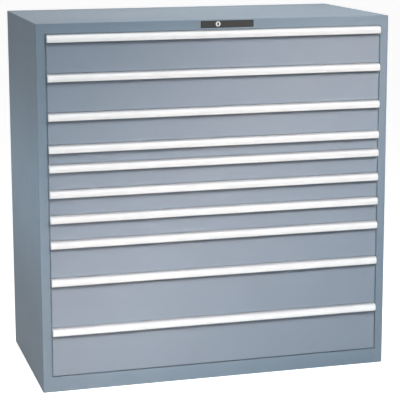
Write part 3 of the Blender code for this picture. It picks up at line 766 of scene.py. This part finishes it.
def make_back_panel():
    """Back sheet with upright stiffening beads."""
    shape = bmesh.new()
    low_z = BACK_LOW.z + BEAD_MARGIN
    high_z = BACK_HIGH.z - BEAD_MARGIN
    levels = (BACK_LOW.z, low_z, high_z, BACK_HIGH.z)
    pitch = (BACK_HIGH.x - BACK_LOW.x) / BEAD_COUNT

    def corner(x, z):
        return shape.verts.new((x, BACK_HIGH.y, z))

    before = [corner(BACK_LOW.x, z) for z in levels]
    for index in range(BEAD_COUNT):
        middle = BACK_LOW.x + pitch / 2 + pitch * index
        rings = [[shape.verts.new(point) for point in ring] for ring in bead_rings(middle, low_z, high_z)]
        rim = rings[0]
        half = len(rim) // 2
        left = [corner(middle - BEAD_WIDTH / 2, BACK_LOW.z), rim[-1], rim[0]]
        left.append(corner(middle - BEAD_WIDTH / 2, BACK_HIGH.z))
        right = [corner(middle + BEAD_WIDTH / 2, BACK_LOW.z), rim[half], rim[half - 1]]
        right.append(corner(middle + BEAD_WIDTH / 2, BACK_HIGH.z))
        for row in range(len(levels) - 1):
            shape.faces.new((before[row], left[row], left[row + 1], before[row + 1]))
        shape.faces.new([left[-1]] + rim[:half] + [right[-1]])
        shape.faces.new([right[0]] + rim[half:] + [left[0]])
        for outer, inner in zip(rings, rings[1:]):
            for place in range(len(rim)):
                shape.faces.new((outer[place - 1], outer[place], inner[place], inner[place - 1]))
        shape.faces.new(rings[-1])
        before = right
    after = [corner(BACK_HIGH.x, z) for z in levels]
    for row in range(len(levels) - 1):
        shape.faces.new((before[row], after[row], after[row + 1], before[row + 1]))
    turn_away(shape, (0, -FAR, (low_z + high_z) / 2))
    panel = make_piece("back_skin", shape, HOUSING_PAINT, "housing", BACK_SHEET)
    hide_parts("back_panel")


def make_back_screws():
    """Pan-head screws with a recess, all round the back panel inside its flanges."""
    low_x, high_x = BACK_LOW.x + SCREW_MARGIN, BACK_HIGH.x - SCREW_MARGIN
    low_z, high_z = BACK_LOW.z + SCREW_MARGIN, BACK_HIGH.z - SCREW_MARGIN
    places = []
    for index in range(SCREWS_UP):
        z = low_z + (high_z - low_z) * index / (SCREWS_UP - 1)
        places += [(low_x, z), (high_x, z)]
    for index in range(1, SCREWS_ACROSS):
        x = low_x + (high_x - low_x) * index / SCREWS_ACROSS
        places += [(x, low_z), (x, high_z)]
    profile = [(-SCREW_ROOT, 0), (-SCREW_ROOT, SCREW_RADIUS)]
    dome = arc((SCREW_DRIVE, 0), SCREW_RADIUS - SCREW_DRIVE, SCREW_RISE, 0, 90, SCREW_DOME_STEPS)
    profile += [(up, out) for out, up in dome]
    drive_floor = SCREW_RISE - SCREW_DRIVE_DEPTH
    profile += [(drive_floor, SCREW_DRIVE), (drive_floor, 0)]
    shape = bmesh.new()
    for x, z in places:
        matrix = Matrix.Translation((x, BACK_HIGH.y, z)) @ Matrix.Rotation(math.radians(90), 4, "Z")
        turned(shape, profile, SMALL_SIDES, matrix)
    turn_out(shape)
    make_piece("back_screws", shape, ZINC, "housing")


# Drawers

def make_front(tag, low_z, high_z, half_width):
    """Folded front with a tight bend along its foot."""
    shape = cube_between((-half_width, FRONT_Y, low_z), (half_width, FRONT_Y + FRONT_RETURN, high_z))
    open_side(shape, (0, 1, 0))
    foot = [
        edge for edge in shape.edges
        if all(abs(vert.co.z - low_z) + abs(vert.co.y - FRONT_Y) < TOUCH for vert in edge.verts)]
    bmesh.ops.bevel(
        shape, geom=foot, offset=FRONT_FOOT_RADIUS, segments=FOOT_STEPS, profile=ROUND_PROFILE,
        affect="EDGES")
    make_piece(
        f"front_{tag}", shape, FRONT_PAINT, f"drawer_{tag}", FRONT_SHEET,
        FRONT_EDGE_RADIUS, EDGE_DEGREES)


def slot_stations(start, end, pitch=SLOT_PITCH, width=SLOT_WIDTH):
    """Where a wall's slots begin and end, on a pitch centred along the wall."""
    count = int((end - start) / pitch) - 1
    first = (start + end) / 2 - pitch * (count - 1) / 2
    stations = [start]
    for index in range(count):
        middle = first + pitch * index
        stations += [middle - width / 2, middle + width / 2]
    return stations + [end]


def slot_levels(height):
    """Where the rows of slots begin and end, up a wall."""
    room = height - SLOT_LOW_MARGIN - SLOT_HIGH_MARGIN
    count = max(1, round((room + SLOT_BRIDGE) / (SLOT_ROW_HEIGHT + SLOT_BRIDGE)))
    slot = (room - SLOT_BRIDGE * (count - 1)) / count
    levels = []
    for index in range(count):
        low = SLOT_LOW_MARGIN + (slot + SLOT_BRIDGE) * index
        levels += [low, low + slot]
    return levels


def make_tray(tag, low_z, high_z):
    """Welded tray: a base and four slotted walls, the side walls with a hem."""
    shape = bmesh.new()
    height = high_z - low_z
    front_y = FRONT_Y + FRONT_RETURN
    foot = arc((-TRAY_FILLET, TRAY_FILLET), TRAY_FILLET, TRAY_FILLET, 270, 360, FILLET_STEPS)
    levels = slot_levels(height)
    upright = foot + [(0, level) for level in levels]
    end_section = upright + [(0, height)]
    side_section = end_section + [(TRAY_HEM, height), (TRAY_HEM, height - TRAY_HEM_DROP)]
    slots = range(len(foot), len(foot) + len(levels), 2)

    def is_slot(segment, gap):
        return segment in slots and gap % 2 == 1

    inner_width = TRAY_SIDE - TRAY_SHEET / 2
    for side in (-1, 1):
        loft(
            shape, side_section, slot_stations(front_y, TRAY_BACK_Y),
            lambda y, out, up: (side * (TRAY_SIDE + out), y, low_z + up), is_slot)
    for side, wall_y in ((-1, front_y), (1, TRAY_BACK_Y)):
        loft(
            shape, end_section, slot_stations(-inner_width, inner_width),
            lambda x, out, up: (x, wall_y + side * out, low_z + up), is_slot)
    base_x = TRAY_SIDE - TRAY_FILLET
    base_front, base_back = front_y + TRAY_FILLET, TRAY_BACK_Y - TRAY_FILLET
    corners = ((-base_x, base_front), (base_x, base_front), (base_x, base_back), (-base_x, base_back))
    shape.faces.new([shape.verts.new((x, y, low_z)) for x, y in corners])
    drop_loose(shape)
    turn_away(shape, (0, 0, low_z + height / 2))
    tray = make_piece(
        f"tray_{tag}", shape, TRAY_PAINT, f"drawer_{tag}", TRAY_SHEET)
    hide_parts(f"drawer_{tag}")


def channel_section(web, tip, low, high):
    """A C-shaped section from tip to tip, with its corners rounded; web and tip are places across."""
    way = 1 if web > tip else -1
    corner = web - way * RAIL_CORNER
    reach = way * RAIL_CORNER
    lower = arc((corner, low + RAIL_CORNER), reach, RAIL_CORNER, 270, 360, FILLET_STEPS)
    upper = arc((corner, high - RAIL_CORNER), reach, RAIL_CORNER, 0, 90, FILLET_STEPS)
    return [(tip, low)] + lower + upper + [(tip, high)]


def make_channel(shape, web, tip, low, high):
    """An open channel along the runner, its thickness to be put inside."""
    start = len(shape.faces)
    loft(shape, channel_section(web, tip, low, high), (RUNNER_FRONT, TRAY_BACK_Y), inward)
    turn_away(shape, (tip, 0, (low + high) / 2), start)


def carriage_box(tag):
    """The right carriage's lowest and highest corners."""
    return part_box(f"carriage_right_{tag}")


def make_drawer_rails(tag):
    """The two rails on a tray, one on each side."""
    low, high = carriage_box(tag)
    shape = bmesh.new()
    for side in (-1, 1):
        make_channel(shape, side * TRAY_SIDE, side * DRAWER_RAIL_TIP, low.z, high.z)
    make_piece(f"drawer_rails_{tag}", shape, ZINC, f"drawer_{tag}", RAIL_SHEET)


def make_drawer_lug(tag):
    """Bracket on the tray's right rail that the lock bar's tab stops."""
    base = carriage_box(tag)[1].z
    foot = base + LUG_LIFT
    top = foot + LUG_HEIGHT
    outline = [
        (TRAY_SIDE, base), (DRAWER_RAIL_TIP, base), (DRAWER_RAIL_TIP, foot), (CARRIAGE_HIGH.x, foot),
        (CARRIAGE_HIGH.x, top), (TRAY_SIDE, top)]
    front = LOCK_BAR_BACK + LUG_SETBACK
    shape = bmesh.new()
    run_outline(shape, outline, front, front + LUG_SHEET, inward)
    turn_out(shape)
    make_piece(
        f"drawer_lug_{tag}", shape, ZINC, f"drawer_{tag}", 0, CAP_ROUND,
        EDGE_DEGREES, EDGE_STEPS)


def make_drawer(tag):
    low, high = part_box(f"drawer_{tag}")
    grip_low, grip_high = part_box(f"handle_{tag}")
    foot = low.z + FOOT_RISE if tag == TAGS[-1] else low.z - FOOT_DROP
    make_front(tag, foot, high.z, grip_high.x)
    make_tray(tag, low.z + TRAY_LIFT, high.z - TRAY_TOP_DROP)
    make_drawer_rails(tag)
    make_drawer_lug(tag)
    make_grip(tag, grip_low, grip_high)


# Grip rails

def nose_point(low, high, angle, inset):
    """A point of the bull nose, inset from its outer line."""
    proud = FRONT_Y - low.y
    nose_z = high.z - (high.z - low.z) * GRIP_NOSE_SHARE
    if angle <= NOSE:
        centre_y = FRONT_Y - proud * GRIP_CREST_SHARE
        rise = high.z - nose_z
    else:
        centre_y = FRONT_Y - proud * GRIP_LIP_SHARE
        rise = (nose_z - low.z) / math.sin(math.radians(GRIP_LIP_ANGLE))
    turn = math.radians(angle)
    return (
        centre_y + (centre_y - low.y - inset) * math.cos(turn),
        nose_z + (rise - inset) * math.sin(turn))


def nose_line(low, high, start, end, inset):
    """Points of the bull nose from one angle to another."""
    points = []
    for index in range(GRIP_ARC_STEPS + 1):
        angle = start + (end - start) * index / GRIP_ARC_STEPS
        points.append(nose_point(low, high, angle, inset))
    return points


def make_grip(tag, low, high):
    """Extruded grip with a label strip let into its nose and a moulded cap on each end."""
    body = f"drawer_{tag}"
    lip = NOSE + GRIP_LIP_ANGLE
    face = FRONT_Y - TOUCH
    back = face - GRIP_BACK_WALL
    outline = [(high.y, high.z)]
    outline += nose_line(low, high, CREST, LABEL_START, 0)
    outline += nose_line(low, high, LABEL_START, NOSE, LABEL_DEPTH)
    outline += nose_line(low, high, NOSE, LABEL_END, LABEL_DEPTH)[1:]
    outline += nose_line(low, high, LABEL_END, lip, 0)
    outline += nose_line(low, high, lip, NOSE, GRIP_WALL)
    outline += nose_line(low, high, NOSE, CREST, GRIP_WALL)[1:]
    outline += [
        (back, high.z - GRIP_WALL), (back, low.z), (face, low.z), (face, high.z - GRIP_WALL),
        (high.y, high.z - GRIP_WALL)]
    reach = high.x - CAP_THICKNESS
    shape = bmesh.new()
    run_outline(shape, outline, -reach, reach, across)
    turn_out(shape)
    grip = make_piece(f"grip_{tag}", shape, GRIP_METAL, body)
    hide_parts(f"handle_{tag}")
    start, end = LABEL_START + LABEL_EDGE, LABEL_END - LABEL_EDGE
    strip = nose_line(low, high, start, NOSE, LABEL_PLAY)
    strip += nose_line(low, high, NOSE, end, LABEL_PLAY)[1:]
    strip += nose_line(low, high, end, NOSE, LABEL_DEPTH - LABEL_PLAY)
    strip += nose_line(low, high, NOSE, start, LABEL_DEPTH - LABEL_PLAY)[1:]
    shape = bmesh.new()
    run_outline(shape, strip, -reach, reach, across)
    turn_out(shape)
    make_piece(f"label_{tag}", shape, LABEL_WHITE, body)
    cap = [(face, high.z)] + nose_line(low, high, CREST, NOSE, 0)
    cap += nose_line(low, high, NOSE, lip, 0)[1:] + [(face, low.z)]
    shape = bmesh.new()
    for side in (-1, 1):
        run_outline(shape, cap, side * reach, side * high.x, across)
    turn_out(shape)
    make_piece(
        f"grip_caps_{tag}", shape, CAP_WHITE, body, 0, CAP_ROUND,
        EDGE_DEGREES, EDGE_STEPS)


# Runners

def carriage_plate(side, low, high):
    """Plate with rounded corners, in the plane across the cabinet's depth."""
    outline = rounded_rectangle(low.y, high.y, low.z, high.z, CARRIAGE_CORNER)
    shape = bmesh.new()
    run_outline(shape, outline, side * CARRIAGE_PLATE_IN, side * CARRIAGE_PLATE_OUT, across)
    return shape


def roller_profile(start, end):
    """Roller with rounded rims, a hub recess and an axle head on the side that shows."""
    way = 1 if end > start else -1
    rim = ROLLER_RIM
    edge = way * rim
    return [
        (start, 0),
        (start, ROLLER_RADIUS - rim),
        (start + edge, ROLLER_RADIUS),
        (end - edge, ROLLER_RADIUS),
        (end, ROLLER_RADIUS - rim),
        (end, HUB_RADIUS + rim),
        (end - way * HUB_DEPTH, HUB_RADIUS),
        (end - way * HUB_DEPTH, 0),
    ]


def axle_profile(base, tip):
    """Low domed rivet head."""
    points = [(base, AXLE_RADIUS)]
    for index in range(1, AXLE_STEPS + 1):
        angle = math.radians(90 * index / AXLE_STEPS)
        points.append((base + (tip - base) * math.sin(angle), AXLE_RADIUS * math.cos(angle)))
    points[-1] = (tip, 0)
    return [(base, 0)] + points


def make_carriage(tag, side):
    """Roller carriage: a plate, two rollers in the tray's rail and two in the cabinet's rail."""
    low, high = carriage_box(tag)
    word = "left" if side < 0 else "right"
    body = f"carriage_{word}_{tag}"
    middle = (low.z + high.z) / 2
    length = high.y - low.y
    shape = carriage_plate(side, low, high)
    rollers = bmesh.new()
    inner_places = (low.y + ROLLER_END_INSET, low.y + length * INNER_ROLLER_SHARE)
    outer_places = (high.y - ROLLER_END_INSET, low.y + length * OUTER_ROLLER_SHARE)
    for places, base, tip, far_base in (
            (inner_places, CARRIAGE_PLATE_IN, low.x, CARRIAGE_PLATE_OUT),
            (outer_places, CARRIAGE_PLATE_OUT, high.x, CARRIAGE_PLATE_IN)):
        for place in places:
            matrix = Matrix.Translation((0, place, middle))
            turned(rollers, roller_profile(side * base, side * tip), ROLLER_SIDES, matrix)
            way = 1 if tip > base else -1
            head = tip - way * HUB_DEPTH
            head_top = head + way * HUB_DEPTH / 2
            tail_top = far_base - way * AXLE_RISE
            turned(shape, axle_profile(side * head, side * head_top), ROLLER_SIDES, matrix)
            turned(shape, axle_profile(side * far_base, side * tail_top), ROLLER_SIDES, matrix)
    turn_out(shape)
    turn_out(rollers)
    plate = make_piece(f"carriage_plate_{word}_{tag}", shape, ZINC, body)
    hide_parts(body)
    make_piece(f"carriage_rollers_{word}_{tag}", rollers, ROLLER_POLYMER, body)


def make_runner_wall(word, side):
    """Inner wall folded out to the housing side, with one rail for each drawer."""
    wall = bmesh.new()
    web, outer = CASE_RAIL_WEB, WALL_HIGH.x
    section = [(outer, RUNNER_FRONT), (web, RUNNER_FRONT), (web, TRAY_BACK_Y), (outer, TRAY_BACK_Y)]
    loft(wall, section, (WALL_LOW.z, WALL_HIGH.z), lambda z, x, y: (side * x, y, z))
    turn_away(wall, (side * FAR, 0, (WALL_LOW.z + WALL_HIGH.z) / 2))
    panel = make_piece(
        f"runner_wall_skin_{word}", wall, ZINC, "housing", RAIL_SHEET, RAIL_CORNER)
    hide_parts(f"runner_wall_{word}")
    rails = bmesh.new()
    ends = [WALL_HIGH.z]
    for tag in TAGS:
        low, high = carriage_box(tag)
        make_channel(rails, side * CASE_RAIL_WEB, side * CASE_RAIL_TIP, low.z, high.z)
        ends += [high.z, low.z]
    ends.append(WALL_LOW.z)
    make_piece(f"case_rails_{word}", rails, ZINC, "housing", RAIL_SHEET)
    make_uprights(word, side, ends)


def make_uprights(word, side, ends):
    """Folded, slotted strips that carry the rails; ends holds the top and bottom of each length."""
    web, face = CASE_RAIL_WEB, CASE_RAIL_TIP + UPRIGHT_SETBACK
    shape = bmesh.new()
    for share in UPRIGHT_SHARES:
        y = RUNNER_FRONT + (TRAY_BACK_Y - RUNNER_FRONT) * share
        near, far = y - UPRIGHT_WIDTH / 2, y + UPRIGHT_WIDTH / 2
        slot = UPRIGHT_SLOT_WIDTH / 2
        section = [(web, near), (face, near), (face, y - slot), (face, y + slot), (face, far), (web, far)]
        middle = section.index((face, y - slot))
        for high, low in zip(ends[::2], ends[1::2]):
            start = len(shape.faces)
            loft(
                shape, section, slot_stations(low, high, UPRIGHT_SLOT_PITCH, UPRIGHT_SLOT_HEIGHT),
                lambda z, x, y: (side * x, y, z), lambda segment, gap: segment == middle and gap % 2 == 1)
            turn_away(shape, (side * web, y, (low + high) / 2), start)
    make_piece(
        f"runner_uprights_{word}", shape, ZINC, "housing", UPRIGHT_SHEET, UPRIGHT_SHEET)


# Lock

def plate_outline(inset):
    """The lock plate's outline, inset all round."""
    return rounded_rectangle(
        PLATE_LOW.x + inset, PLATE_HIGH.x - inset, PLATE_LOW.z + inset, PLATE_HIGH.z - inset, PLATE_CORNER)


def make_lock_plate():
    """Dark plate with a raised rim, a lighter field let into it and a small bare mark; the rim's darker
    tone is partly painted shade.
    """
    field_y = PLATE_LOW.y + PLATE_INSET
    shape = bmesh.new()
    rows = []
    for inset, y in (
            (0, PLATE_HIGH.y), (0, field_y), (PLATE_INSET, PLATE_LOW.y), (PLATE_RIM, PLATE_LOW.y),
            (PLATE_RIM, field_y)):
        rows.append([shape.verts.new((x, y, z)) for x, z in plate_outline(inset)])
    for before, after in zip(rows, rows[1:]):
        for index in range(len(before)):
            shape.faces.new((before[index - 1], before[index], after[index], after[index - 1]))
    shape.faces.new(rows[0])
    shape.faces.new(rows[-1])
    turn_out(shape)
    plate = make_piece("lock_plate_skin", shape, LOCK_PLASTIC, "housing")
    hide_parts("lock_plate")
    field = bmesh.new()
    run_outline(field, plate_outline(PLATE_RIM + FIELD_PLAY), field_y - FIELD_RISE, field_y, inward)
    turn_out(field)
    make_piece("lock_plate_field", field, FIELD_PLASTIC, "housing")
    mark = bmesh.new()
    place = (MARK_REACH, field_y - FIELD_RISE, LOCK_Z - MARK_DROP)
    matrix = Matrix.Translation(place) @ Matrix.Rotation(math.radians(-90), 4, "Z")
    rise = FIELD_RISE / 2
    turned(mark, [(0, 0), (0, MARK_RADIUS), (rise, MARK_RADIUS), (rise, 0)], SMALL_SIDES, matrix)
    turn_out(mark)
    make_piece("lock_mark", mark, KEYWAY_DARK, "housing")


def keyway_outline():
    """The keyway's outline, on the lock's axis."""
    half_width, half_height = KEYWAY_WIDTH / 2, KEYWAY_HEIGHT / 2
    corner = KEYWAY_WIDTH * ROUNDING_SHARE
    return rounded_rectangle(-half_width, half_width, LOCK_Z - half_height, LOCK_Z + half_height, corner)


def make_lock_cylinder():
    """Turned lock: cam, barrel, flange ring and plug, with a cut keyway, a near-black insert in it as
    painted shade, and the cam's pin.
    """
    face_y = LOCK_LOW.y
    plug_y = face_y + PLUG_SETBACK
    quarter = Matrix.Rotation(math.radians(90), 4, "Z")
    seat = PLATE_LOW.y + PLATE_INSET - face_y
    cam_back = RETURN_END - face_y
    rounding = RING_CHAMFER * ROUNDING_SHARE
    profile = [
        (cam_back, 0),
        (cam_back, LOCK_HIGH.x),
        (cam_back - CAM_THICKNESS, LOCK_HIGH.x),
        (cam_back - CAM_THICKNESS, BARREL_RADIUS),
        (seat, BARREL_RADIUS),
        (seat, RING_RADIUS),
        (RING_CHAMFER, RING_RADIUS),
        (rounding, RING_RADIUS - rounding),
        (0, RING_RADIUS - RING_CHAMFER),
        (0, RING_RADIUS - RING_LAND),
        (PLUG_SETBACK, PLUG_RADIUS),
    ]
    shape = bmesh.new()
    rim = turned(shape, profile, RING_SIDES, Matrix.Translation((0, face_y, LOCK_Z)) @ quarter)
    mouth = [shape.verts.new((x, plug_y, z)) for x, z in keyway_outline()]
    floor = [shape.verts.new((x, plug_y + KEYWAY_DEPTH, z)) for x, z in keyway_outline()]
    for index in range(len(mouth)):
        shape.faces.new((mouth[index - 1], mouth[index], floor[index], floor[index - 1]))
    shape.faces.new(floor)
    edges = []
    for ring in (rim, mouth):
        edges += [shape.edges.get((ring[index - 1], ring[index])) for index in range(len(ring))]
    bmesh.ops.triangle_fill(shape, edges=edges, use_beauty=True)
    start, end = RETURN_END - CAM_THICKNESS / 2, LOCK_HIGH.y
    pin = [(start, 0), (start, CAM_PIN_RADIUS), (end, CAM_PIN_RADIUS), (end, 0)]
    pin_place = Matrix.Translation((CAM_PIN_REACH, 0, LOCK_Z - CAM_PIN_REACH))
    turned(shape, pin, SMALL_SIDES, pin_place @ quarter)
    turn_out(shape)
    lock = make_piece("lock_cylinder_skin", shape, LOCK_NICKEL, "lock_cylinder")
    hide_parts("lock_cylinder")
    # Near-black insert behind the keyway's mouth: painted shade of the keyway's depth
    keyway_shade = bmesh.new()
    run_outline(keyway_shade, keyway_outline(), plug_y + KEYWAY_SHADE_SETBACK, plug_y + KEYWAY_DEPTH, inward)
    turn_out(keyway_shade)
    make_piece("keyway_painted_shade", keyway_shade, KEYWAY_DARK, "lock_cylinder")


def dress_node(name, material):
    """Give a CAD piece that is shown as it is its finish."""
    node = frame["nodes"][name]
    node.data.materials.clear()
    node.data.materials.append(material)


def build():
    make_stage()
    make_shell()
    make_stop_strips()
    make_foot_flanges()
    make_lid()
    make_back_panel()
    make_back_screws()
    dress_node("base_panel", HOUSING_PAINT)
    make_runner_wall("left", -1)
    make_runner_wall("right", 1)
    for tag in TAGS:
        make_drawer(tag)
        make_carriage(tag, -1)
        make_carriage(tag, 1)
    make_lock_plate()
    make_lock_cylinder()
    dress_node("lock_slider", ZINC)
    dress_node("lock_bar", ZINC)


build()
